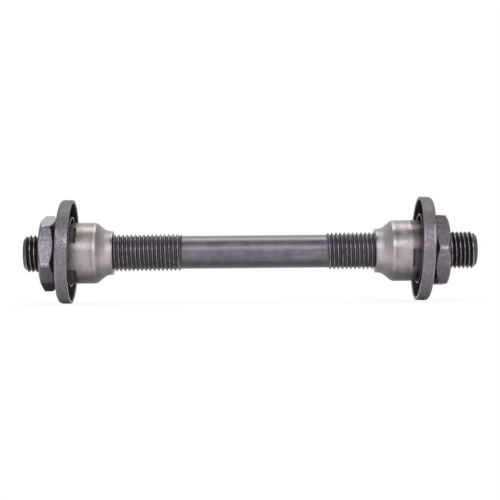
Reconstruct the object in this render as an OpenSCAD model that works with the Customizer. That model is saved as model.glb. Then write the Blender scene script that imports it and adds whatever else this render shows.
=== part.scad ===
// Front hub axle set for a bicycle wheel: a hollow threaded axle with a cone,
// a dust cap and a lock nut at each end. Millimetres, +X along the axle,
// +Z up, origin on the axle's axis halfway between its ends.

/* [Axle] */
// Overall length of the axle
axle_l = 108; // [100:0.5:120]
// Diameter over the crests of the M9 thread
thread_d = 8.9; // [8.6:0.05:9.4]
// Diameter of the plain middle, just over the root of the thread
shank_d = 7.87; // [7.4:0.01:8.4]
// Bore that the quick-release skewer passes through
bore_d = 5.3; // [5:0.1:6]
// Length of the thread on the left
left_thread_l = 37.8; // [30:0.1:45]
// Length of the thread on the right
right_thread_l = 35.9; // [30:0.1:45]
// Length of the taper where each thread runs out into the shank
runout_l = 0.6; // [0.3:0.1:1.5]
// Diameter of the flat end faces
end_face_d = 7; // [6.4:0.1:8]
// Length of the chamfer at each end
end_chamfer_l = 0.9; // [0.5:0.1:1.5]

/* [Lock nuts] */
// Width of the hexagon across its flats
nut_af = 16.2; // [15:0.1:18]
// Thickness of a nut
nut_t = 3.65; // [3.5:0.05:6]
// Diameter of the flat circle that the chamfers leave on both faces
nut_face_d = 15.5; // [14:0.1:15.8]
// Angle of the chamfers to the faces
nut_chamfer_a = 30; // [15:1:40]
// Depth of the countersink at each mouth of the threaded hole
nut_mouth_l = 0.4; // [0.2:0.1:1]
// Length of axle that stands out of the left nut
left_stub_l = 4.15; // [2:0.05:8]
// Length of axle that stands out of the right nut
right_stub_l = 6.9; // [2:0.05:10]
// Turn of the left nut, from a flat that faces the front, positive downward
left_nut_turn = -14; // [-30:1:30]
// Turn of the right nut, from a flat that faces the front, positive downward
right_nut_turn = 26; // [-30:1:30]

/* [Dust caps] */
// Outside diameter of a cap
cap_d = 24.8; // [22:0.1:28]
// Width of the rim along the axle
cap_w = 3.05; // [2:0.05:5]
// Thickness of the rim's wall
cap_wall = 0.7; // [0.5:0.05:1.2]
// Thickness of the web that joins rim, collar and hole
cap_web = 0.8; // [0.5:0.05:1.2]
// Radius of the rounded outboard edge
cap_round = 1; // [0.5:0.1:1.2]
// Outside diameter of the inner collar
collar_d = 16.8; // [16.2:0.1:18]
// Thickness of the collar's wall
collar_wall = 0.4; // [0.3:0.05:0.7]
// How far the collar's edge lies below the rim's edge
collar_inset = 0.2; // [0:0.1:0.6]
// Free play of a loose cap along the axle, between its nut and its cone
cap_play = 0.38; // [0:0.02:0.6]
// How far the loose caps sit above the axle's axis
cap_lift = 0.4; // [0:0.01:0.45]
// Lean of the loose left cap, its top towards +X
left_cap_lean = 1.7; // [0:0.1:3]
// Lean of the loose right cap, its top towards +X
right_cap_lean = 2.5; // [0:0.1:3]

/* [Cones] */
// Length of a cone
cone_l = 11.7; // [10:0.05:14]
// Diameter of the body
cone_d = 14.6; // [14.2:0.1:14.8]
// Diameter of the lip at the small end
lip_d = 10.5; // [9.8:0.1:11]
// Length of the lip
lip_l = 0.55; // [0.3:0.05:1]
// Radius of the concave ball race
race_r = 2.5; // [2:0.1:3]
// Angle at which the race runs up to the body
race_a = 39; // [30:0.5:45]
// Length of the ground bevel between race and body
bevel_l = 0.5; // [0.2:0.1:1]
// Rise of the ground bevel
bevel_h = 0.15; // [0.05:0.05:0.3]
// Width of the squared end across its flats
square_af = 13.8; // [13:0.1:14]
// Length of the wrench flats
square_l = 3.3; // [2.5:0.1:4.5]
// Chamfer round the outboard end
cone_edge = 0.3; // [0.1:0.1:0.6]
// Depth of the countersink at the small end
cone_mouth_l = 0.5; // [0.2:0.1:1]
// Turn of the left cone's flats from the front, positive downward
left_cone_turn = -38; // [-45:1:45]
// Turn of the right cone's flats from the front, positive downward
right_cone_turn = 15; // [-45:1:45]

/* [Fits] */
// Radial clearance between the thread's crests and what screws onto it
thread_gap = 0.05; // [0.03:0.01:0.09]
// Radial clearance left between the thread and a lifted cap's hole
hole_gap = 0.08; // [0.05:0.01:0.2]
// Clearance left where a leaning cap comes nearest to nut and cone
face_gap = 0.03; // [0.02:0.01:0.2]

/* [Hidden] */
LEFT = 0;
RIGHT = 1;
round_fn = 96;
cut = 0.5;

end_x = axle_l / 2;
thread_r = thread_d / 2;
shank_r = shank_d / 2;
bore_r = bore_d / 2;
left_thread_x = -end_x + left_thread_l;
right_thread_x = end_x - right_thread_l;

hole_r = thread_r + thread_gap;
nut_corner_r = nut_af / sqrt(3);
nut_face_r = nut_face_d / 2;
nut_trim_r = nut_corner_r + cut;
nut_trim_l = (nut_trim_r - nut_face_r) * tan(nut_chamfer_a);

cap_r = cap_d / 2;
collar_r = collar_d / 2;
web_y = cap_web / 2;
rim_y = web_y - cap_w;
cap_hole_r = thread_r + cap_lift + hole_gap;

cone_r = cone_d / 2;
lip_r = lip_d / 2;
bevel_r = cone_r - bevel_h;
race_end_r = lip_r + race_r * (1 - cos(race_a));
race_end_y = lip_l + race_r * sin(race_a);
bevel_y = race_end_y + (bevel_r - race_end_r) / tan(race_a);

// Per side: the stack, measured outwards from the middle of the axle. The left cap lies
// against its cone and the right one against its nut, with the play on the other side.
stub_l = [left_stub_l, right_stub_l];
nut_play = [cap_play, 0];
cone_play = [0, cap_play];
cap_lean = [left_cap_lean, right_cap_lean];
nut_turn = [left_nut_turn, right_nut_turn];
cone_turn = [left_cone_turn, right_cone_turn];
function lean_room(side, reach) =
    web_y / cos(cap_lean[side]) + (reach + cap_lift) * tan(cap_lean[side]) + face_gap;
function nut_x(side) = end_x - stub_l[side] - nut_t;
function web_x(side) = nut_x(side) - nut_play[side] - lean_room(side, nut_face_r);
function cone_x(side) = web_x(side) - lean_room(side, cone_r) - cone_play[side] - cone_l;

// Stands a piece, drawn along +Z and pointing outboard, on the axle at one end
module on_axle(side, x) {
    mirror([side == LEFT ? 1 : 0, 0, 0])
        translate([x, 0, 0])
            rotate([0, 90, 0])
                children();
}

// Round hole through a piece that is l long
module through_hole(r, l) {
    translate([0, 0, -cut])
        cylinder(r = r, h = l + 2 * cut, $fn = round_fn);
}

// Countersink of depth l into a hole of radius r, at z = 0
module mouth(r, l) {
    cylinder(r1 = r + l, r2 = r, h = l, $fn = round_fn);
}

// Hollow axle: two threaded ends and a plain middle
module axle() {
    color("#47464c")
        rotate([0, 90, 0])
            rotate_extrude($fn = round_fn)
                polygon([
                    [bore_r, -end_x],
                    [end_face_d / 2, -end_x],
                    [thread_r, -end_x + end_chamfer_l],
                    [thread_r, left_thread_x - runout_l],
                    [shank_r, left_thread_x],
                    [shank_r, right_thread_x],
                    [thread_r, right_thread_x + runout_l],
                    [thread_r, end_x - end_chamfer_l],
                    [end_face_d / 2, end_x],
                    [bore_r, end_x]
                ]);
}

// Half section of a cone: lip, concave ball race, bevel and body
module cone_section() {
    difference() {
        polygon([
            [0, 0],
            [lip_r, 0],
            [lip_r, lip_l],
            [race_end_r, race_end_y],
            [bevel_r, bevel_y],
            [cone_r, bevel_y + bevel_l],
            [cone_r, cone_l - cone_edge],
            [cone_r - cone_edge, cone_l],
            [0, cone_l]
        ]);
        translate([lip_r + race_r, lip_l])
            circle(r = race_r, $fn = round_fn);
    }
}

// The four wrench flats milled into a cone's outboard end
module wrench_flats(turn) {
    for (quarter = [0:3])
        rotate([0, 0, turn + 90 * quarter])
            translate([square_af / 2, -cone_r, cone_l - square_l])
                cube([cone_r, cone_d, square_l + cut]);
}

module bearing_cone(side) {
    color("#aaa5a3")
        on_axle(side, cone_x(side))
            difference() {
                rotate_extrude($fn = round_fn)
                    cone_section();
                wrench_flats(cone_turn[side]);
                through_hole(hole_r, cone_l);
                mouth(hole_r, cone_mouth_l);
            }
}

// Half section of a dust cap: web, rim with a rounded edge, and collar
module cap_section() {
    difference() {
        union() {
            translate([cap_hole_r, -web_y])
                square([cap_r - cap_hole_r, cap_web]);
            translate([cap_r - cap_wall, rim_y])
                square([cap_wall, cap_w]);
            translate([collar_r - collar_wall, rim_y + collar_inset])
                square([collar_wall, cap_w - collar_inset]);
        }
        difference() {
            translate([cap_r - cap_round, web_y - cap_round])
                square(cap_round + cut);
            translate([cap_r - cap_round, web_y - cap_round])
                circle(r = cap_round, $fn = round_fn);
        }
    }
}

// A loose cap: lifted and leaning on the thread between cone and nut
module dust_cap(side) {
    outboard_lean = side == LEFT ? -cap_lean[side] : cap_lean[side];
    color("#5d5c62")
        on_axle(side, web_x(side))
            translate([-cap_lift, 0, 0])
                rotate([0, outboard_lean, 0])
                    rotate_extrude($fn = round_fn)
                        cap_section();
}

// Half section of the solid that trims a nut's corners on both faces
module nut_trim_section() {
    polygon([
        [0, 0],
        [nut_face_r, 0],
        [nut_trim_r, nut_trim_l],
        [nut_trim_r, nut_t - nut_trim_l],
        [nut_face_r, nut_t],
        [0, nut_t]
    ]);
}

module lock_nut(side) {
    color("#6d6b71")
        on_axle(side, nut_x(side))
            difference() {
                intersection() {
                    rotate([0, 0, nut_turn[side]])
                        cylinder(r = nut_corner_r, h = nut_t, $fn = 6);
                    rotate_extrude($fn = round_fn)
                        nut_trim_section();
                }
                through_hole(hole_r, nut_t);
                mouth(hole_r, nut_mouth_l);
                translate([0, 0, nut_t])
                    mirror([0, 0, 1])
                        mouth(hole_r, nut_mouth_l);
            }
}

axle();
bearing_cone(LEFT);  // left_cone
bearing_cone(RIGHT);  // right_cone
dust_cap(LEFT);  // left_dust_cap
dust_cap(RIGHT);  // right_dust_cap
lock_nut(LEFT);  // left_lock_nut
lock_nut(RIGHT);  // right_lock_nut
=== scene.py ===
"""Front hub axle set on a plain pale floor, seen as in the photograph."""

from math import acos, atan2, cos, pi, radians, sin, sqrt, tan

import bmesh
import bpy
from mathutils import Matrix, Vector


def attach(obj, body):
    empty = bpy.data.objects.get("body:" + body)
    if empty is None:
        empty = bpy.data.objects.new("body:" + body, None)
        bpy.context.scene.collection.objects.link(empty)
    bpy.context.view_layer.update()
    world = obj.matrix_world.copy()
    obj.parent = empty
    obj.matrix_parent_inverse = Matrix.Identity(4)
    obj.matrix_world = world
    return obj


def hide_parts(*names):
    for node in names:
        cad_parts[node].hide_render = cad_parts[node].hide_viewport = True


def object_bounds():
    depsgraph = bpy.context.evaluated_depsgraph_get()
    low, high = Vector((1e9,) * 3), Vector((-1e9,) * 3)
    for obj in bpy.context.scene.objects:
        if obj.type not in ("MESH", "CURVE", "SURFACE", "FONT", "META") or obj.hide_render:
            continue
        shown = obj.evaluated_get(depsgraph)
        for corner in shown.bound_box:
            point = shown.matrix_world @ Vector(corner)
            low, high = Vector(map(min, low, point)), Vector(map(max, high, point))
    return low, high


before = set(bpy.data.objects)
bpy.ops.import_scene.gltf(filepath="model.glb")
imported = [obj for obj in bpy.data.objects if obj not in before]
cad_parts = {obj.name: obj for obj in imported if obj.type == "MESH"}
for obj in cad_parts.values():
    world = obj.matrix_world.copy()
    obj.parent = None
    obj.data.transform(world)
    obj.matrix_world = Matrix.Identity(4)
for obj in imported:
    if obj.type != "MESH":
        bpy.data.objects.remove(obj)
cad_lo, cad_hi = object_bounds()

# All lengths are in millimetres, as in the CAD source, and scaled when a mesh is made.
# On a piece, s runs along the axle and r away from its axis.
MM = 0.001
LEFT, RIGHT = "left", "right"
SIGN = {LEFT: -1.0, RIGHT: 1.0}

# Axle
END_X = 54.0
PITCH = 1.0
SHANK_R = 3.935
BORE_R = 2.65
BORE_MOUTH = 0.3
END_FACE_R = 3.5
END_CHAMFER_L = 0.9
THREAD_R = 4.45
THREAD_END = {LEFT: -16.2, RIGHT: 18.1}
RUNOUT_L = 0.6
# One turn of the thread: place along the pitch, and radius
THREAD_ROWS = [
    (-0.13, 4.36), (-0.06, 4.45), (0.06, 4.45), (0.13, 4.36),
    (0.35, 3.93), (0.42, 3.865), (0.58, 3.865), (0.65, 3.93),
]

# Lock nuts
STUB_L = {LEFT: 4.15, RIGHT: 6.9}
NUT_T = 3.65
NUT_FLAT = 8.1
NUT_FACE_R = 7.75
NUT_CHAMFER = tan(radians(30))
NUT_RIDGE_R = 0.4
NUT_MOUTH = 0.4
NUT_TURN = {LEFT: -14.0, RIGHT: 26.0}
HOLE_R = 4.5
# Fillets of a nut: at the hole, round its faces and along the chamfers
NUT_HOLE_ROUND, NUT_FACE_ROUND, NUT_CHAMFER_ROUND = 0.05, 0.12, 0.1

# Dust caps, drawn round the middle of the web
CAP_R = 12.4
CAP_W = 3.05
CAP_WALL = 0.7
CAP_WEB = 0.8
CAP_ROUND = 1.0
COLLAR_R = 8.4
COLLAR_WALL = 0.4
COLLAR_INSET = 0.2
CAP_HOLE_R = 4.93
CAP_LIFT = 0.4
CAP_LEAN = {LEFT: radians(1.7), RIGHT: radians(2.5)}
WEB_S = CAP_WEB / 2
RIM_S = WEB_S - CAP_W
# Fillets of a cap: at the hole, the collar's foot and edge, the rim's foot, and the
# rim's edge inside and outside
CAP_HOLE_ROUND = 0.08
COLLAR_FOOT, COLLAR_EDGE = 0.15, 0.1
RIM_FOOT, RIM_EDGE_IN, RIM_EDGE_OUT = 0.4, 0.12, 0.16

# Cones, drawn outwards from the small end
CONE_L = 11.7
CONE_R = 7.3
LIP_R = 5.25
LIP_L = 0.55
RACE_R = 2.5
RACE_A = radians(39)
BEVEL_L = 0.5
BEVEL_H = 0.15
RACE_END_S = LIP_L + RACE_R * sin(RACE_A)
RACE_END_R = LIP_R + RACE_R * (1 - cos(RACE_A))
BEVEL_S = RACE_END_S + (CONE_R - BEVEL_H - RACE_END_R) / tan(RACE_A)
FLAT_R = 6.9
FLAT_L = 3.3
FLAT_S = CONE_L - FLAT_L
CONE_EDGE = 0.3
CONE_MOUTH = 0.5
CONE_TURN = {LEFT: -38.0, RIGHT: 15.0}
# Fillets and small edges of a cone
LIP_ROUND, BEVEL_ROUND, FLAT_ROUND = 0.06, 0.35, 0.06
END_STEP, END_DROP, HOLE_EDGE = 0.02, 0.03, 0.12
# Length of round body before the flats, and depth at which their wall is a full wall
BODY_MARGIN, FULL_WALL = 0.4, 0.12

# The stack from each end inwards: the left cap lies against its cone, the right one
# against its nut, and the play is on the other side
FACE_GAP = 0.03
NUT_PLAY = {LEFT: 0.38, RIGHT: 0.0}
CONE_PLAY = {LEFT: 0.0, RIGHT: 0.38}

# How fine the meshes are: columns round a piece, and steps along a section
THREAD_COLUMNS = 96
CAP_COLUMNS = 160
FLAT_COLUMNS, LAND_COLUMNS = 10, 14
SHANK_STEPS, BORE_STEPS, RACE_STEPS = 24, 16, 12
FILLET_STEPS, CAP_FILLET_STEPS = 3, 5
# Columns of a nut, in degrees from ridge to ridge: closest together at the ridges
NUT_NEAR = [0.0, 0.47, 0.94, 1.5, 2.2, 3.2]
NUT_ACROSS = [4.5 + 51.0 * i / 14 for i in range(15)]
NUT_COLUMNS = NUT_NEAR + NUT_ACROSS + [60 - a for a in reversed(NUT_NEAR[1:])]
# Degrees from a ridge up to which it is wholly worn, and over which the wear ends
RIDGE_WORN, RIDGE_FADE = 0.94, 1.2
# Edges that turn by more than these degrees stay sharp
SHARP = {"axle": 50, "cone": 17, "cap": 35, "nut": 24}
# Vertices that are nearer to each other, in metres, are merged
MERGE = 2e-7
# The most of an edge that a fillet may take up
FILLET_SHARE = 0.49


def lean_room(side, reach):
    """Room along the axle that half of a leaning cap's web takes, out to that radius."""
    lean = CAP_LEAN[side]
    return CAP_WEB / 2 / cos(lean) + (reach + CAP_LIFT) * tan(lean) + FACE_GAP


NUT_X = {side: END_X - STUB_L[side] - NUT_T for side in SIGN}
CAP_X = {side: NUT_X[side] - NUT_PLAY[side] - lean_room(side, NUT_FACE_R) for side in SIGN}
CONE_X = {side: CAP_X[side] - lean_room(side, CONE_R) - CONE_PLAY[side] - CONE_L for side in SIGN}


# Meshes

def arc_points(corner, before, after, radius, steps):
    """The fillet of that radius in a corner of a section, as steps + 1 points."""
    c, p, q = Vector(corner), Vector(before), Vector(after)
    u, v = (p - c).normalized(), (q - c).normalized()
    half = acos(max(-1.0, min(1.0, u.dot(v)))) / 2
    reach = min(radius / tan(half), FILLET_SHARE * min((p - c).length, (q - c).length))
    radius = reach * tan(half)
    middle = c + (u + v).normalized() * (radius / sin(half))
    start, end = c + u * reach - middle, c + v * reach - middle
    turn = start.angle_signed(end)
    out = []
    for i in range(steps + 1):
        a = -turn * i / steps
        out.append((
            middle.x + start.x * cos(a) - start.y * sin(a),
            middle.y + start.x * sin(a) + start.y * cos(a),
        ))
    return out


def rounded(corners, steps=FILLET_STEPS):
    """A closed section from corners (s, r, fillet radius), with the fillets drawn."""
    out = []
    for i, (s, r, fillet) in enumerate(corners):
        if fillet:
            before, after = corners[i - 1][:2], corners[(i + 1) % len(corners)][:2]
            out += arc_points((s, r), before, after, fillet, steps)
        else:
            out.append((s, r))
    return out


def new_piece(name, bm, place, sharp):
    """An object from bm; place gives (s, r, wear) for each vertex, for its material."""
    mesh = bpy.data.meshes.new(name)
    layer = bm.verts.layers.float_vector.new("place")
    for vert, value in zip(bm.verts, place):
        vert[layer] = value
    bmesh.ops.remove_doubles(bm, verts=bm.verts, dist=MERGE)
    bmesh.ops.dissolve_degenerate(bm, edges=bm.edges, dist=MERGE)
    bmesh.ops.recalc_face_normals(bm, faces=bm.faces)
    bm.to_mesh(mesh)
    bm.free()
    mesh.shade_smooth()
    mesh.set_sharp_from_angle(angle=radians(sharp))
    obj = bpy.data.objects.new(name, mesh)
    bpy.context.scene.collection.objects.link(obj)
    return obj


def add_patch(bm, columns, shift=0, closed=True):
    """Quads between neighbouring columns of vertices; the seam may be shifted by rows."""
    grid = [[bm.verts.new(Vector(p) * MM) for p in column] for column in columns]
    rows = len(columns[0])
    for i, column in enumerate(grid):
        last = i == len(grid) - 1
        following = grid[0] if last else grid[i + 1]
        step = shift if last else 0
        for j in range(rows if closed else rows - 1):
            k, m = (j + 1) % rows, j + step
            if not closed and m + 1 >= rows:
                continue
            bm.faces.new((column[j], column[k], following[(m + 1) % rows], following[m % rows]))


def around(s, r, angle):
    """A point at s along the axle, r from its axis; the angle starts at the bottom."""
    return s, r * sin(angle), -r * cos(angle)


def thread_radius(x, radius, runout):
    """The profile's radius at x, less where the thread runs out and at the end chamfer."""
    cut = SHANK_R + (radius - SHANK_R) * min(1.0, runout / RUNOUT_L)
    near_end = END_X - abs(x)
    return min(cut, END_FACE_R + near_end * (THREAD_R - END_FACE_R) / END_CHAMFER_L)


def thread_columns(low, high):
    """One threaded end between two places, its crests on a right-hand helix."""
    turns = range(-2, int(high - low) + 3)
    columns, place = [], []
    for i in range(THREAD_COLUMNS):
        angle = 2 * pi * i / THREAD_COLUMNS
        column = []
        for turn in turns:
            for offset, radius in THREAD_ROWS:
                x = low + (turn + offset + angle / (2 * pi)) * PITCH
                x = min(max(x, low), high)
                r = thread_radius(x, radius, high - x if low < 0 else x - low)
                column.append(around(x, r, angle))
                place.append((x, r, 1.0))
        columns.append(column)
    return columns, place


def plain_columns(section):
    """A turned stretch of the axle through the section's points (x, r)."""
    columns, place = [], []
    for i in range(THREAD_COLUMNS):
        angle = 2 * pi * i / THREAD_COLUMNS
        columns.append([around(x, r, angle) for x, r in section])
        place += [(x, r, 0.0) for x, r in section]
    return columns, place


def make_axle():
    """The axle: two threaded ends, the shank between them, the end faces and the bore."""
    bm = bmesh.new()
    left, right = THREAD_END[LEFT], THREAD_END[RIGHT]
    place = []
    for low, high in ((-END_X, left), (right, END_X)):
        columns, here = thread_columns(low, high)
        add_patch(bm, columns, shift=len(THREAD_ROWS), closed=False)
        place += here
    shank = [(left + (right - left) * i / SHANK_STEPS, SHANK_R) for i in range(SHANK_STEPS + 1)]
    inside_l = END_X - BORE_MOUTH
    bore = [(-END_X, END_FACE_R), (-END_X, BORE_R + BORE_MOUTH)]
    bore += [(-inside_l + 2 * inside_l * i / BORE_STEPS, BORE_R) for i in range(BORE_STEPS + 1)]
    bore += [(END_X, BORE_R + BORE_MOUTH), (END_X, END_FACE_R)]
    for section in (shank, bore):
        columns, here = plain_columns(section)
        add_patch(bm, columns, closed=False)
        place += here
    return new_piece("axle_body", bm, place, SHARP["axle"])


def make_ring(name, side, x, sections, sharp, lift=0.0, lean=0.0):
    """A bored piece from one closed section per angle: [(angle, [(s, r)], wear)]."""
    bm = bmesh.new()
    columns, place = [], []
    sign = SIGN[side]
    for angle, section, wear in sections:
        column = []
        for s, r in section:
            px, py, pz = around(sign * s, r, angle)
            turned = px * cos(lean) + pz * sin(lean), -px * sin(lean) + pz * cos(lean)
            column.append((sign * x + turned[0], py, turned[1] + lift))
            place.append((s, r, wear))
        columns.append(column)
    add_patch(bm, columns)
    return new_piece(name, bm, place, sharp)


def square_reach(angle, turn):
    """Radius of the squared end at an angle; turn is where one of its flats faces."""
    step = pi / 2
    off = (angle - turn + step / 2) % step - step / 2
    return FLAT_R / cos(off)


def cone_section(angle, turn):
    """Section of a cone at an angle: lip, ball race, bevel, body and wrench flats."""
    race = [
        (LIP_L + RACE_R * sin(a), LIP_R + RACE_R * (1 - cos(a)), 0)
        for a in (RACE_A * i / RACE_STEPS for i in range(1, RACE_STEPS + 1))
    ]
    corners = [
        (CONE_MOUTH, HOLE_R, 0), (0, HOLE_R + CONE_MOUTH, 0),
        (0, LIP_R, LIP_ROUND), (LIP_L, LIP_R, 0), *race,
        (BEVEL_S, CONE_R - BEVEL_H, BEVEL_ROUND), (BEVEL_S + BEVEL_L, CONE_R, BEVEL_ROUND),
    ]
    head = rounded(corners + [(CONE_L, CONE_R, 0), (CONE_L, HOLE_R, 0)])[:-2]
    reach = min(CONE_R, square_reach(angle, turn))
    brow = FLAT_ROUND * min(1.0, (CONE_R - reach) / FULL_WALL)
    tail = [
        (FLAT_S - BODY_MARGIN, CONE_R), (FLAT_S - brow, CONE_R), (FLAT_S, CONE_R - brow),
        (FLAT_S, reach + brow * 0.5), (FLAT_S + brow * 0.5, reach),
        (CONE_L - CONE_EDGE, reach),
        (CONE_L - END_STEP, min(reach, CONE_R - CONE_EDGE + END_STEP)),
        (CONE_L, min(reach, CONE_R - CONE_EDGE) - END_DROP),
        (CONE_L, HOLE_R + HOLE_EDGE), (CONE_L - HOLE_EDGE, HOLE_R),
    ]
    return head + tail


def make_cone(side):
    """A bearing cone, with a column of vertices on each edge of its wrench flats."""
    turn = radians(CONE_TURN[side])
    edge = acos(FLAT_R / CONE_R)
    land = pi / 2 - 2 * edge
    angles = []
    for quarter in range(4):
        middle = turn + quarter * pi / 2
        angles += [middle - edge + 2 * edge * i / FLAT_COLUMNS for i in range(FLAT_COLUMNS)]
        angles += [middle + edge + land * i / LAND_COLUMNS for i in range(LAND_COLUMNS)]
    sections = [(a, cone_section(a, turn), 0.0) for a in angles]
    return make_ring(f"{side}_bearing_cone", side, CONE_X[side], sections, SHARP["cone"])


def make_cap(side):
    """A loose pressed dust cap: web, rounded rim and inner collar."""
    inner = CAP_R - CAP_WALL
    collar_s, collar_in = RIM_S + COLLAR_INSET, COLLAR_R - COLLAR_WALL
    section = rounded([
        (WEB_S, CAP_HOLE_R, CAP_HOLE_ROUND), (-WEB_S, CAP_HOLE_R, CAP_HOLE_ROUND),
        (-WEB_S, collar_in, COLLAR_FOOT), (collar_s, collar_in, COLLAR_EDGE),
        (collar_s, COLLAR_R, COLLAR_EDGE), (-WEB_S, COLLAR_R, COLLAR_FOOT),
        (-WEB_S, inner, RIM_FOOT), (RIM_S, inner, RIM_EDGE_IN),
        (RIM_S, CAP_R, RIM_EDGE_OUT), (WEB_S, CAP_R, CAP_ROUND),
    ], steps=CAP_FILLET_STEPS)
    sections = [(2 * pi * i / CAP_COLUMNS, section, 0.0) for i in range(CAP_COLUMNS)]
    return make_ring(
        f"{side}_cap", side, CAP_X[side], sections, SHARP["cap"], CAP_LIFT, CAP_LEAN[side]
    )


def nut_reach(off):
    """Radius of the hexagon at an angle from a corner, with its ridge rounded."""
    centre = (NUT_FLAT - NUT_RIDGE_R) / cos(pi / 6)
    tangent = atan2(NUT_RIDGE_R * sin(pi / 6), centre + NUT_RIDGE_R * cos(pi / 6))
    if abs(off) < tangent:
        return centre * cos(off) + sqrt(NUT_RIDGE_R ** 2 - (centre * sin(off)) ** 2)
    return NUT_FLAT / cos(pi / 6 - abs(off))


def nut_section(reach):
    """Section of a nut where its flat or ridge has that radius."""
    rise = (reach - NUT_FACE_R) * NUT_CHAMFER
    return rounded([
        (NUT_MOUTH, HOLE_R, 0), (0, HOLE_R + NUT_MOUTH, NUT_HOLE_ROUND),
        (0, NUT_FACE_R, NUT_FACE_ROUND), (rise, reach, NUT_CHAMFER_ROUND),
        (NUT_T - rise, reach, NUT_CHAMFER_ROUND), (NUT_T, NUT_FACE_R, NUT_FACE_ROUND),
        (NUT_T, HOLE_R + NUT_MOUTH, NUT_HOLE_ROUND), (NUT_T - NUT_MOUTH, HOLE_R, 0),
    ])


def make_nut(side):
    """A hexagon nut chamfered on both faces, with a column on each ridge."""
    turn = radians(NUT_TURN[side])
    sections = []
    for corner in range(6):
        for degree in NUT_COLUMNS:
            off = degree if degree <= 30 else degree - 60
            wear = max(0.0, 1 - max(0.0, abs(off) - RIDGE_WORN) / RIDGE_FADE)
            angle = turn + radians(60 * corner + degree)
            sections.append((angle, nut_section(nut_reach(radians(off))), wear))
    return make_ring(f"{side}_hex_nut", side, NUT_X[side], sections, SHARP["nut"])


# Materials

class Nodes:
    """Short forms for filling a shader's node tree."""

    def __init__(self, owner):
        owner.use_nodes = True
        self.tree = owner.node_tree
        self.tree.nodes.clear()

    def add(self, kind, inputs=None, **settings):
        """A new node, with its settings, and with its inputs given or linked."""
        node = self.tree.nodes.new(kind)
        for key, value in settings.items():
            setattr(node, key, value)
        for key, value in (inputs or {}).items():
            self.put(node.inputs[key], value)
        return node

    def put(self, socket, value):
        """A link into the socket if the value is a socket, or else its default."""
        if isinstance(value, bpy.types.NodeSocket):
            self.tree.links.new(value, socket)
        else:
            socket.default_value = value

    def split(self, vector):
        return self.add("ShaderNodeSeparateXYZ", {0: vector}).outputs

    def vector(self, operation, a, b=None, scale=None):
        node = self.add("ShaderNodeVectorMath", {0: a}, operation=operation)
        if b is not None:
            self.put(node.inputs[1], b)
        if scale is not None:
            self.put(node.inputs["Scale"], scale)
        return node.outputs["Vector"]

    def calc(self, operation, a, b=None):
        node = self.add("ShaderNodeMath", {0: a}, operation=operation)
        if b is not None:
            self.put(node.inputs[1], b)
        return node.outputs[0]

    def times(self, first, *factors):
        """The product of all the factors: 1 where each of them is 1."""
        for factor in factors:
            first = self.calc("MULTIPLY", first, factor)
        return first

    def less(self, amount, factor):
        """1 where the factor is 0, less by the amount where it is 1."""
        return self.calc("SUBTRACT", 1.0, self.times(factor, amount))

    def step(self, value, low, high):
        """0 at low and 1 at high, smooth between them; low may be the larger."""
        node = self.add("ShaderNodeMapRange", {0: value, 1: low, 2: high},
                        interpolation_type="SMOOTHSTEP")
        return node.outputs[0]

    def band(self, value, low, high, soft):
        """1 between low and high, falling to 0 over the length soft."""
        return self.times(self.step(value, low - soft, low), self.step(value, high + soft, high))

    def seen_ray(self):
        """1 for camera, glossy and transmission rays."""
        path = self.add("ShaderNodeLightPath").outputs
        total = self.calc("MAXIMUM", path["Is Camera Ray"], path["Is Glossy Ray"])
        return self.calc("MAXIMUM", total, path["Is Transmission Ray"])

    def mix_shaders(self, factor, a, b, kind):
        """Shader b over shader a, by the factor, as the output of that kind."""
        mix = self.add("ShaderNodeMixShader", {0: factor, 1: a, 2: b})
        self.add(kind, {"Surface": mix.outputs[0]})


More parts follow.
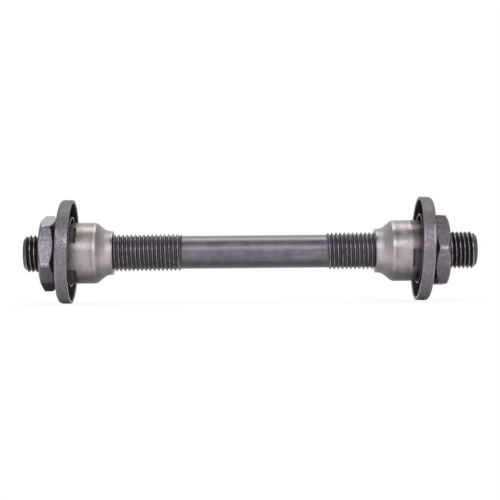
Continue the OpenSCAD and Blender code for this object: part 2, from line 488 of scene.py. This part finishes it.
class Finish(Nodes):
    """A metal finish, built from nodes in millimetres of the piece's own space."""

    # Roughness of the turning marks' noise, and how much they also vary with the radius
    RING_ROUGH, RING_SLANT = 0.7, 1.7

    def __init__(self, name):
        self.material = bpy.data.materials.new(name)
        super().__init__(self.material)
        self.shader = self.add("ShaderNodeBsdfPrincipled", {"Metallic": 1.0})
        self.add("ShaderNodeOutputMaterial", {"Surface": self.shader.outputs["BSDF"]})
        coords = self.add("ShaderNodeTexCoord").outputs["Object"]
        self.point = self.vector("SCALE", coords, scale=1 / MM)
        _, self.y, self.z = self.split(self.point)
        place = self.add("ShaderNodeAttribute", attribute_name="place")
        self.s, self.r, self.wear = self.split(place.outputs["Vector"])

    def noise(self, scale, detail=3.0, rough=0.55, stretch=(1, 1, 1), offset=0.0):
        """Noise from 0 to 1 in space; scale is in cycles a millimetre."""
        point = self.vector("MULTIPLY", self.point, stretch)
        if offset:
            point = self.vector("ADD", point, (offset, offset, offset))
        node = self.add("ShaderNodeTexNoise", {
            "Vector": point, "Scale": scale, "Detail": detail, "Roughness": rough})
        return node.outputs["Fac"]

    def rings(self, scale, detail=3.0, offset=0.0):
        """Turning marks: noise that varies only along the axle and with the radius."""
        w = self.calc("ADD", self.s, self.times(self.r, self.RING_SLANT))
        node = self.add("ShaderNodeTexNoise", {
            "W": self.calc("ADD", w, offset), "Scale": scale, "Detail": detail,
            "Roughness": self.RING_ROUGH}, noise_dimensions="1D")
        return node.outputs["Fac"]

    def mixed(self, data_type, ending, factor, a, b):
        """The output of a mix node whose sockets are named with that ending."""
        node = self.add("ShaderNodeMix", {"Factor": factor}, data_type=data_type)
        for letter, value in (("A", a), ("B", b)):
            socket = next(i for i in node.inputs if i.identifier == f"{letter}_{ending}")
            self.put(socket, value)
        return next(o for o in node.outputs if o.identifier == f"Result_{ending}")

    def mix(self, factor, a, b):
        """Colour b over colour a, by the factor."""
        a, b = ((*c, 1.0) if isinstance(c, tuple) else c for c in (a, b))
        return self.mixed("RGBA", "Color", factor, a, b)

    def blend(self, factor, a, b):
        """Number b over number a, by the factor."""
        return self.mixed("FLOAT", "Float", factor, a, b)

    def layers(self, colour, coats):
        """Coats over a colour, the first one lowest: [(where, amount, tone)]."""
        for where, amount, tone in coats:
            colour = self.mix(self.times(where, amount), colour, tone)
        return colour

    def light_by_height(self, colour, steps):
        """Painted light and shade by height: [(from z, to z, amount, tone)]."""
        return self.layers(colour, [(self.step(self.z, a, b), *coat) for a, b, *coat in steps])

    def bump(self, height, depth, normal=None):
        """Relief of that depth in millimetres over the whole range of height."""
        inputs = {"Height": height, "Distance": depth * MM, "Strength": 1.0}
        if normal is not None:
            inputs["Normal"] = normal
        return self.add("ShaderNodeBump", inputs).outputs["Normal"]

    def done(self, colour, roughness, normal):
        self.put(self.shader.inputs["Base Color"], colour)
        self.put(self.shader.inputs["Roughness"], roughness)
        self.put(self.shader.inputs["Normal"], normal)
        return self.material


# A place is a pair: the finish begins at its first value and is full at its second.
# Noise is cut in the same way, and the widths after a band are those of its soft ends.
HOLE_DARK = (0.06, 0.055, 0.055)

# Axle: radii of crests, flanks and roots, distances from the middle, heights on the shank of the
# painted highlight on its top and the painted shade under it
CREST, FLANK, ROOT = (4.34, 4.44), (4.33, 4.25), (4.25, 4.05)
STUBS, END_RING = (46.0, 46.5), (END_X - 0.95, END_X - 0.8)
SHANK_HIGHLIGHT, SHANK_SHADE, SHANK_SOFT = (1.9, 2.7), (-1.6, -2.6), 0.05


def black_oxide():
    """The axle: dark oxide, painted highlight on the shank's top and painted shade under it, bright
    worn crests, darker roots on the stubs.
    """
    f = Finish("black_oxide")
    cloud = f.noise(0.35, 4)
    grain = f.noise(5.0, 3)
    streaks = f.noise(0.9, 4, 0.6, stretch=(0.2, 2.0, 2.0))
    from_middle = f.calc("ABSOLUTE", f.s)
    shank = f.band(f.s, THREAD_END[LEFT], THREAD_END[RIGHT], SHANK_SOFT)
    flank = f.times(f.wear, f.less(1.0, shank), f.step(f.r, *FLANK))
    root = f.times(f.wear, f.step(from_middle, *STUBS), f.step(f.r, *ROOT))
    worn = f.times(f.wear, f.step(f.r, *CREST), f.step(f.noise(1.2, 5), 0.30, 0.66))
    colour = f.mix(f.step(cloud, 0.3, 0.7), (0.135, 0.122, 0.145), (0.185, 0.168, 0.195))
    colour = f.layers(colour, [
        (f.step(grain, 0.62, 0.8), 0.5, (0.27, 0.25, 0.28)),
        (f.step(streaks, 0.5, 0.7), 0.4, (0.25, 0.23, 0.27)),
        # painted highlight along the top of the shank
        (f.times(shank, f.step(f.z, *SHANK_HIGHLIGHT)), 0.65, (0.26, 0.25, 0.255)),
        # painted shade along the underside of the shank
        (f.times(shank, f.step(f.z, *SHANK_SHADE)), 0.4, (0.05, 0.045, 0.05)),
        (flank, 0.5, (0.10, 0.088, 0.10)),
        (root, 0.9, (0.022, 0.019, 0.021)),
        (worn, 0.9, (0.47, 0.44, 0.475)),
        (f.step(from_middle, *END_RING), 0.5, (0.22, 0.20, 0.21)),
    ])
    rough = f.blend(f.step(cloud, 0.3, 0.7), 0.27, 0.36)
    rough = f.blend(f.times(f.step(streaks, 0.45, 0.65), 0.5), rough, 0.42)
    rough = f.blend(flank, rough, 0.5)
    rough = f.blend(worn, rough, 0.28)
    normal = f.bump(f.rings(7.0, 4), 0.004)
    normal = f.bump(grain, 0.003, normal)
    return f.done(colour, rough, normal)


# Cones, per side: where the painted shade of the squared end inside the cap lies, past the
# start of the flats, with its amount and tone; the tone of the flats; the amount of painted shade in
# a band at the race's big end
SQUARE_END_SHADE = {LEFT: ((-1.3, 0.6), 0.6, (0.17, 0.15, 0.145)), RIGHT: ((-0.1, 0.3), 0.7, (0.12, 0.10, 0.115))}
MILLED = {LEFT: (0.24, 0.195, 0.19), RIGHT: (0.155, 0.122, 0.13)}
RACE_SHADE = {LEFT: 0.4, RIGHT: 0.15}
# Heights on the cones: painted shade over the front's highlight, the parts of a race that get painted
# shade, and the underside with painted shade
GLARE_SHADE, GLARE_SOFT = (1.5, 3.0), 0.5
RACE_TOP, RACE_UNDER, CONE_SHADE_UNDER = (3.0, 4.8), (-2.2, -3.8), (-3.6, -6.0)
BEVEL_LIT = (-5.0, 3.0)


def ground_steel(side):
    """The cones: bare turned steel, a ground race, a polished bevel painted lighter towards its top,
    and painted shade.
    """
    f = Finish(f"ground_steel_{side}")
    cloud = f.noise(0.28, 4, offset=7.0 * SIGN[side])
    stain = f.step(f.noise(1.1, 5, 0.65, stretch=(2.0, 0.7, 0.7), offset=3.0), 0.54, 0.72)
    race = f.band(f.s, LIP_L, BEVEL_S - 0.1, 0.15)
    # top and bottom of the race, for painted shade
    shaded = f.calc("MAXIMUM", f.step(f.z, *RACE_TOP), f.step(f.z, *RACE_UNDER))
    # a band of painted shade at the race's big end
    race_shade = f.band(f.s, BEVEL_S - 0.95, BEVEL_S - 0.2, 0.25)
    patches = f.times(
        f.step(f.rings(0.7, 3, 5.0), 0.44, 0.62), f.step(f.s, BEVEL_S, BEVEL_S + 1.0),
        f.step(f.noise(0.35, 3, offset=9.0), 0.40, 0.56),
    )
    # the polished bevel, with a painted highlight that grows towards its top
    bevel = f.times(
        f.band(f.s, BEVEL_S + 0.05, BEVEL_S + BEVEL_L, 0.06), f.step(f.z, *BEVEL_LIT)
    )
    (shade_from, shade_to), shade_amount, shade_tone = SQUARE_END_SHADE[side]
    milled = f.times(
        f.step(f.s, FLAT_S + 0.02, FLAT_S + 0.05), f.step(f.r, CONE_R - 0.02, CONE_R - 0.06)
    )
    # painted shade on the flats next to the step where they begin
    step_shade = f.times(milled, f.step(f.s, FLAT_S + 0.75, FLAT_S + 0.35))
    colour = f.mix(f.step(cloud, 0.3, 0.72), (0.34, 0.305, 0.31), (0.44, 0.395, 0.395))
    colour = f.layers(colour, [
        (f.step(f.rings(9.0, 4), 0.35, 0.7), 0.35, (0.50, 0.46, 0.46)),
        (stain, 0.5, (0.19, 0.155, 0.145)),
        # painted shade that dims the highlight on the front
        (f.band(f.z, *GLARE_SHADE, GLARE_SOFT), 0.2, (0.15, 0.135, 0.145)),
        (race, 0.7, (0.50, 0.465, 0.48)),
        (f.times(race, shaded), 0.4, (0.14, 0.128, 0.13)),
        (race_shade, RACE_SHADE[side], (0.17, 0.15, 0.16)),
        (patches, 0.4, (0.19, 0.155, 0.165)),
        (bevel, 0.5, (0.58, 0.55, 0.54)),
        # painted shade on the squared end inside the cap
        (f.step(f.s, FLAT_S + shade_from, FLAT_S + shade_to), shade_amount, shade_tone),
        # painted shade on the underside
        (f.step(f.z, *CONE_SHADE_UNDER), 0.6, (0.15, 0.115, 0.11)),
        (milled, 1.0, MILLED[side]),
        (step_shade, 0.85, (0.05, 0.042, 0.042)),
        (f.step(f.r, HOLE_R + 0.35, HOLE_R + 0.1), 1.0, HOLE_DARK),
    ])
    rough = f.blend(f.step(cloud, 0.35, 0.65), 0.25, 0.42)
    rough = f.blend(f.times(stain, 0.6), rough, 0.5)
    rough = f.blend(race, rough, 0.46)
    rough = f.blend(milled, rough, 0.42)
    normal = f.bump(f.rings(6.0, 5, 2.0), 0.006)
    normal = f.bump(f.noise(3.0, 4), 0.004, normal)
    return f.done(colour, rough, normal)


# Caps, per side: heights of the nicks and of the painted highlight streak on the front
NICKED, NICK_SOFT = {LEFT: (1.9, 3.6), RIGHT: (0.5, 1.0)}, 0.7
HIGHLIGHT_BAND, HIGHLIGHT_SOFT = {LEFT: (4.6, 5.0), RIGHT: (2.2, 5.4)}, 1.2
# Caps: how far the edges of the worn shoulder and the painted highlight wander, in millimetres, and
# the painted shade on the top
RAGGED = 0.5
CAP_TOP_SHADE = (7.0, 10.0, 0.28, (0.05, 0.048, 0.05))


def phosphate_cap(side):
    """The caps: grainy grey phosphate, dark inside, nicked on the front, with painted highlights on
    the front's lip and shoulder.
    """
    f = Finish(f"phosphate_cap_{side}")
    grain = f.noise(2.6, 5, 0.7, offset=5.0 * SIGN[side])
    speck = f.noise(6.0, 3, 0.6)
    ragged = f.times(f.calc("SUBTRACT", grain, 0.5), RAGGED)
    along, out = f.calc("ADD", f.s, ragged), f.calc("ADD", f.r, ragged)
    # painted highlight along the inboard edge of the rim, on the front
    lip = f.times(
        f.step(along, RIM_S + 0.28, RIM_S + 0.12), f.step(f.r, CAP_R - 0.9, CAP_R - 0.6),
        f.step(f.y, 2.0, -3.0), f.step(f.z, 9.0, 5.0),
    )
    shoulder = f.times(
        f.step(along, WEB_S - 0.75, WEB_S - 0.5), f.step(out, CAP_R - 0.5, CAP_R - 0.25)
    )
    # painted highlight streak on the front of the shoulder
    streak = f.times(shoulder, f.step(f.y, 0.0, -5.0), f.band(f.z, *HIGHLIGHT_BAND[side], HIGHLIGHT_SOFT))
    edges = f.calc(
        "MAXIMUM", f.step(f.s, WEB_S - 1.2, WEB_S - 0.7), f.step(f.s, RIM_S + 1.0, RIM_S + 0.5)
    )
    nicks = f.times(
        edges, f.step(f.y, 0.0, -4.0), f.band(f.z, *NICKED[side], NICK_SOFT),
        f.step(f.noise(2.4, 3, offset=2.0), 0.48, 0.58), f.step(f.r, CAP_R - 0.7, CAP_R - 0.4),
    )
    inside = f.times(
        f.step(f.s, -WEB_S + 0.3, -WEB_S), f.step(f.r, CAP_R - 0.5, CAP_R - 0.7),
        f.step(f.s, RIM_S + 0.15, RIM_S + 0.45),
    )
    colour = f.mix(f.step(grain, 0.34, 0.66), (0.155, 0.14, 0.16), (0.275, 0.25, 0.285))
    colour = f.layers(colour, [(f.step(speck, 0.62, 0.75), 0.35, (0.40, 0.38, 0.41))])
    # painted shade on the caps' top
    colour = f.light_by_height(colour, [CAP_TOP_SHADE])
    colour = f.layers(colour, [
        (lip, 0.35, (0.34, 0.31, 0.34)),
        (shoulder, 0.3, (0.40, 0.37, 0.41)),
        (streak, 1.0, (0.72, 0.68, 0.74)),
        (nicks, 0.9, (0.50, 0.47, 0.50)),
        (inside, 0.95, (0.035, 0.027, 0.027)),
    ])
    rough = f.blend(f.step(grain, 0.35, 0.65), 0.55, 0.40)
    rough = f.blend(lip, rough, 0.32)
    normal = f.bump(grain, 0.016)
    normal = f.bump(speck, 0.010, normal)
    return f.done(colour, rough, normal)


# Nuts, per side: the two tones of the phosphate, how far along the nut its ridges are worn,
# heights of the scuff on the front, and painted light and shade on the facets by height
NUT_TONES = {
    LEFT: ((0.17, 0.155, 0.18), (0.31, 0.285, 0.32)),
    RIGHT: ((0.15, 0.137, 0.15), (0.30, 0.273, 0.30)),
}
RIDGES_FROM = {LEFT: (1.4, 2.6), RIGHT: (-1.0, 0.2)}
SCUFFED, SCUFF_SOFT = {LEFT: (-2.9, -2.5), RIGHT: (0.4, 1.3)}, 0.4
NUT_LIGHT_BY_HEIGHT = {
    LEFT: [
        (1.5, 5.5, 0.55, (0.085, 0.076, 0.09)),
        (-2.4, -3.4, 0.6, (0.10, 0.09, 0.095)),
        (-6.5, -7.2, 0.85, (0.035, 0.03, 0.032)),
        (5.75, 6.0, 0.6, (0.06, 0.055, 0.058)),
        (6.35, 6.55, 0.85, (0.46, 0.46, 0.44)),
    ],
    RIGHT: [
        (4.0, 5.8, 0.3, (0.08, 0.073, 0.078)),
        (0.4, -1.2, 0.15, (0.08, 0.072, 0.078)),
        (-3.2, -4.8, 0.4, (0.08, 0.07, 0.078)),
        (-6.4, -7.8, 0.5, (0.05, 0.045, 0.047)),
    ],
}


def phosphate_nut(side):
    """The nuts: brushed grey phosphate, with worn ridges, a scuff, and painted light and shade on the
    facets by height.
    """
    f = Finish(f"phosphate_nut_{side}")
    grain = f.noise(2.2, 5, 0.7, offset=11.0 * SIGN[side])
    brush = f.noise(1.1, 4, 0.6, stretch=(0.35, 2.4, 2.4))
    ridge = f.times(
        f.wear, f.step(f.noise(0.9, 4, offset=1.5), 0.42, 0.6), f.step(f.s, *RIDGES_FROM[side]),
        f.step(f.r, NUT_FACE_R + 0.1, NUT_FACE_R + 0.5),
    )
    # How far a point lies inside the outboard chamfer, by the radius
    inside = f.calc("SUBTRACT", NUT_FACE_R + NUT_T / NUT_CHAMFER, f.calc("DIVIDE", f.s, NUT_CHAMFER))
    inside = f.calc("SUBTRACT", inside, f.r)
    edge = f.times(f.band(inside, 0.16, 0.34, 0.1), f.step(f.noise(0.7, 3, offset=4.0), 0.35, 0.6))
    facets = f.times(f.step(f.s, NUT_T - 0.04, NUT_T - 0.14), f.step(inside, 0.02, 0.08))
    scuff = f.times(
        f.band(f.z, *SCUFFED[side], SCUFF_SOFT), f.step(f.y, -6.5, -7.5),
        f.band(f.s, 0.9, 2.6, 0.5), f.step(f.noise(1.9, 4, offset=6.0), 0.42, 0.56),
    )
    colour = f.mix(f.step(grain, 0.36, 0.64), *NUT_TONES[side])
    colour = f.layers(colour, [
        (f.step(brush, 0.55, 0.72), 0.35, (0.48, 0.47, 0.48)),
        # painted shade on the outboard chamfer
        (f.step(inside, 0.15, 0.05), 0.6, (0.09, 0.08, 0.09)),
        (edge, 0.6, (0.45, 0.42, 0.44)),
    ])
    # painted light and shade on the facets, by height
    colour = f.mix(facets, colour, f.light_by_height(colour, NUT_LIGHT_BY_HEIGHT[side]))
    colour = f.layers(colour, [
        (ridge, 0.7, (0.56, 0.53, 0.55)),
        (scuff, 0.8, (0.62, 0.58, 0.60)),
        (f.step(f.r, HOLE_R + 0.4, HOLE_R + 0.1), 1.0, HOLE_DARK),
    ])
    rough = f.blend(f.step(grain, 0.35, 0.65), 0.48, 0.36)
    rough = f.blend(ridge, rough, 0.25)
    normal = f.bump(grain, 0.018)
    normal = f.bump(brush, 0.012, normal)
    return f.done(colour, rough, normal)


# Pieces

def dress(obj, body, node, material):
    """The piece takes the node's place on its body, with its own finish."""
    obj.data.materials.append(material)
    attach(obj, body)
    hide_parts(node)


def build():
    dress(make_axle(), "axle", "axle", black_oxide())
    for side in (LEFT, RIGHT):
        dress(make_cone(side), f"{side}_cone", f"{side}_cone", ground_steel(side))
        dress(make_cap(side), f"{side}_cap", f"{side}_dust_cap", phosphate_cap(side))
        dress(make_nut(side), f"{side}_nut", f"{side}_lock_nut", phosphate_nut(side))


# Studio, in metres

WHITE = (1.0, 1.0, 1.0, 1.0)
# The world's light on the object
AMBIENT = 0.8
FLOOR_SIZE = 6.0
FLOOR_GAP = 0.00002
# Distances from the middle over which the floor turns plain white, and how far the
# camera sees it white already near the object
FLOOR_FADE = (0.08, 0.30)
FLOOR_VEIL = 0.88
# The grey flag: elevations from the camera's side, over the top, and its depth of grey
FLAG_SPAN = (radians(60), radians(84))
FLAG_SOFT = radians(10)
FLAG_SHADE = 0.6
# The darker ends of the room, by the sideways part of a direction
ENDS_SPAN = (0.35, 0.75)
ENDS_SHADE = 0.45
CAMERA_AT = Vector((-2.30, -322.7, 0.43)) * MM
CAMERA_YAW = radians(0.394)
CAMERA_ROLL = radians(-0.492)
FOCAL_PX = 1345.36
IMAGE_PX = 500
SENSOR = 36.0
# Elevation from the camera's side, distance, size, radiance and colour
SOFTBOXES = {
    "top_softbox": (102, 0.55, (0.7, 0.22), 1.55, (0.95, 1.0, 0.89)),
    "front_softbox": (29, 0.7, (2.0, 0.24), 1.65, (0.93, 0.87, 1.0)),
}


def darker_ends(n, sideways):
    """The room's level in a direction, from the size of its sideways part."""
    return n.less(ENDS_SHADE, n.step(n.calc("ABSOLUTE", sideways), *ENDS_SPAN))


def make_world():
    """A white room, in which metal also shows a grey flag overhead and darker far ends."""
    world = bpy.data.worlds.new("studio")
    bpy.context.scene.world = world
    n = Nodes(world)
    x, y, z = n.split(n.add("ShaderNodeTexCoord").outputs["Generated"])
    elevation = n.calc("ARCTAN2", z, n.times(y, -1.0))
    flag = n.band(elevation, *FLAG_SPAN, FLAG_SOFT)
    level = n.times(n.less(FLAG_SHADE, flag), darker_ends(n, x))
    level = n.calc("MAXIMUM", level, n.add("ShaderNodeLightPath").outputs["Is Camera Ray"])
    lit = n.add("ShaderNodeBackground", {"Color": WHITE, "Strength": AMBIENT})
    shown = n.add("ShaderNodeBackground", {"Color": WHITE, "Strength": level})
    n.mix_shaders(n.seen_ray(), lit.outputs[0], shown.outputs[0], "ShaderNodeOutputWorld")


def floor_material():
    """White: lit and shadowed near the object, plain white further off."""
    material = bpy.data.materials.new("floor_white")
    n = Nodes(material)
    coords = n.add("ShaderNodeTexCoord").outputs["Object"]
    away = n.add("ShaderNodeVectorMath", {0: coords}, operation="LENGTH").outputs["Value"]
    camera = n.add("ShaderNodeLightPath").outputs["Is Camera Ray"]
    fade = n.times(n.step(away, *FLOOR_FADE), n.seen_ray())
    fade = n.calc("MAXIMUM", fade, n.times(camera, FLOOR_VEIL))
    level = darker_ends(n, n.calc("DIVIDE", n.split(coords)[0], away))
    level = n.calc("MAXIMUM", level, camera)
    paint = n.add("ShaderNodeBsdfDiffuse", {"Color": WHITE})
    glow = n.add("ShaderNodeEmission", {"Color": WHITE, "Strength": level})
    n.mix_shaders(fade, paint.outputs[0], glow.outputs[0], "ShaderNodeOutputMaterial")
    return material


def make_floor():
    """A white floor that the lower rim stands on."""
    bm = bmesh.new()
    half = FLOOR_SIZE / 2
    height = cad_lo.z - FLOOR_GAP
    bm.faces.new([bm.verts.new((x * half, y * half, height))
                  for x, y in ((-1, -1), (1, -1), (1, 1), (-1, 1))])
    mesh = bpy.data.meshes.new("floor")
    bm.to_mesh(mesh)
    bm.free()
    floor = bpy.data.objects.new("floor", mesh)
    bpy.context.scene.collection.objects.link(floor)
    mesh.materials.append(floor_material())


def softbox(name, elevation, distance, size, radiance, colour):
    """A soft lamp aimed at the object; the elevation is from the camera's side."""
    lamp = bpy.data.lights.new(name, "AREA")
    lamp.shape = "RECTANGLE"
    lamp.size, lamp.size_y = size
    lamp.energy = radiance * pi * size[0] * size[1]
    lamp.color = colour
    obj = bpy.data.objects.new(name, lamp)
    bpy.context.scene.collection.objects.link(obj)
    up = radians(elevation)
    away = Vector((0.0, -cos(up), sin(up)))
    obj.location = away * distance
    obj.rotation_euler = away.to_track_quat("Z", "Y").to_euler()


def make_camera():
    """The photo's camera, fitted to the outlines of the parts."""
    data = bpy.data.cameras.new("camera")
    data.sensor_fit = "HORIZONTAL"
    data.sensor_width = SENSOR
    data.lens = FOCAL_PX * SENSOR / IMAGE_PX
    camera = bpy.data.objects.new("camera", data)
    bpy.context.scene.collection.objects.link(camera)
    turn = Matrix.Rotation(-CAMERA_YAW, 4, "Z") @ Matrix.Rotation(radians(90), 4, "X")
    turn = turn @ Matrix.Rotation(CAMERA_ROLL, 4, "Z")
    camera.matrix_world = Matrix.Translation(CAMERA_AT) @ turn
    bpy.context.scene.camera = camera


def studio():
    bpy.context.scene.view_settings.view_transform = "Standard"
    make_world()
    make_floor()
    for name, settings in SOFTBOXES.items():
        softbox(name, *settings)
    make_camera()


build()
studio()
